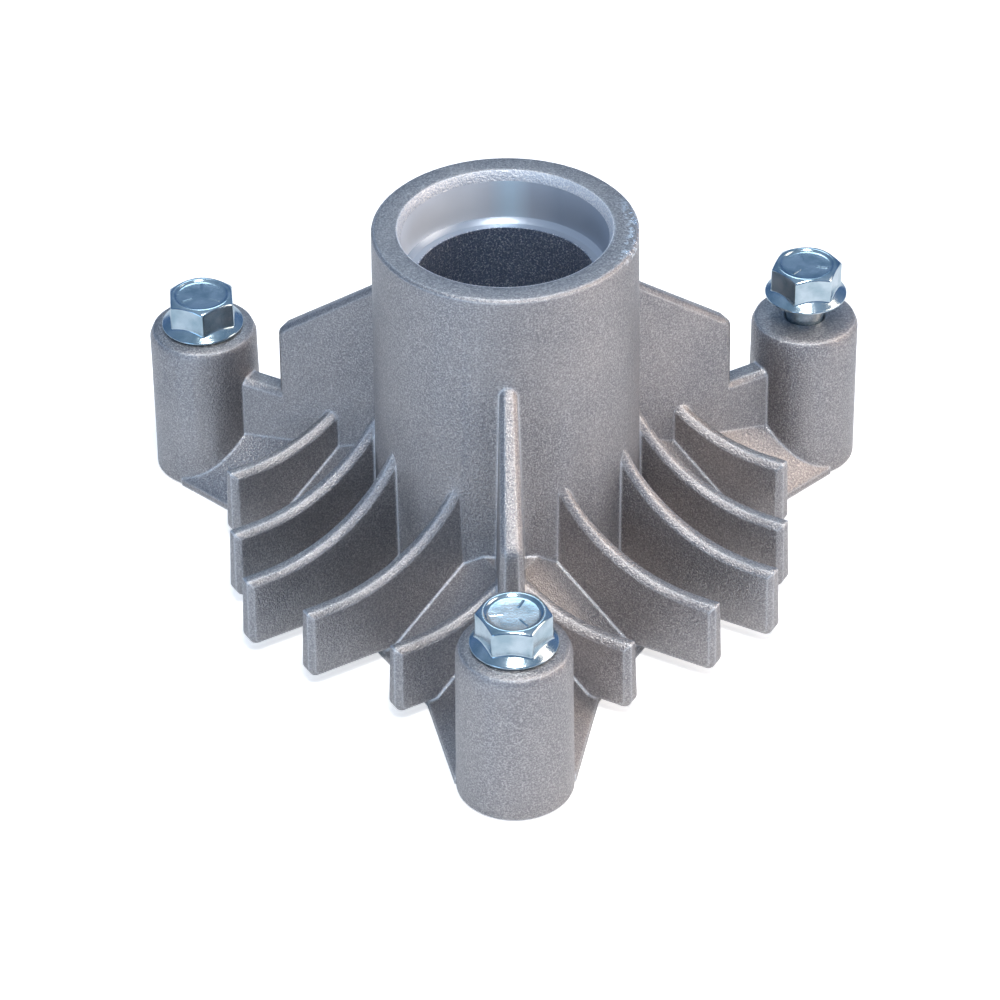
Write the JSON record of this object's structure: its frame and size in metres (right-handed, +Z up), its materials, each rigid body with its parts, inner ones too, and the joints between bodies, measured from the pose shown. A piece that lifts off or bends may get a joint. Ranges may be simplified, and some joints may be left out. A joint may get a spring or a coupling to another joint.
{
  "type": "mower deck spindle housing",
  "caption": "Finned three-post spindle housing with a through bore, bearing seats at both ends and hex washer-head screws in its posts.",
  "frame": {"origin": "on the spindle axis, at the mouth of the lower bearing seat, level with the feet of the posts", "axes": "+Z up along the spindle axis out of the upper seat; -Y towards the front post; +X to the right of the picture"},
  "size_m": [0.1458, 0.1425, 0.0785],
  "materials": {
    "cast_aluminium": "shot-blasted die casting",
    "zinc_plated_steel": "bluish zinc plating"
  },
  "bodies": {
    "root": {"housing": "cast_aluminium", "bolt_front": "zinc_plated_steel", "bolt_right": "zinc_plated_steel", "bolt_left": "zinc_plated_steel"}
  },
  "joints": []
}
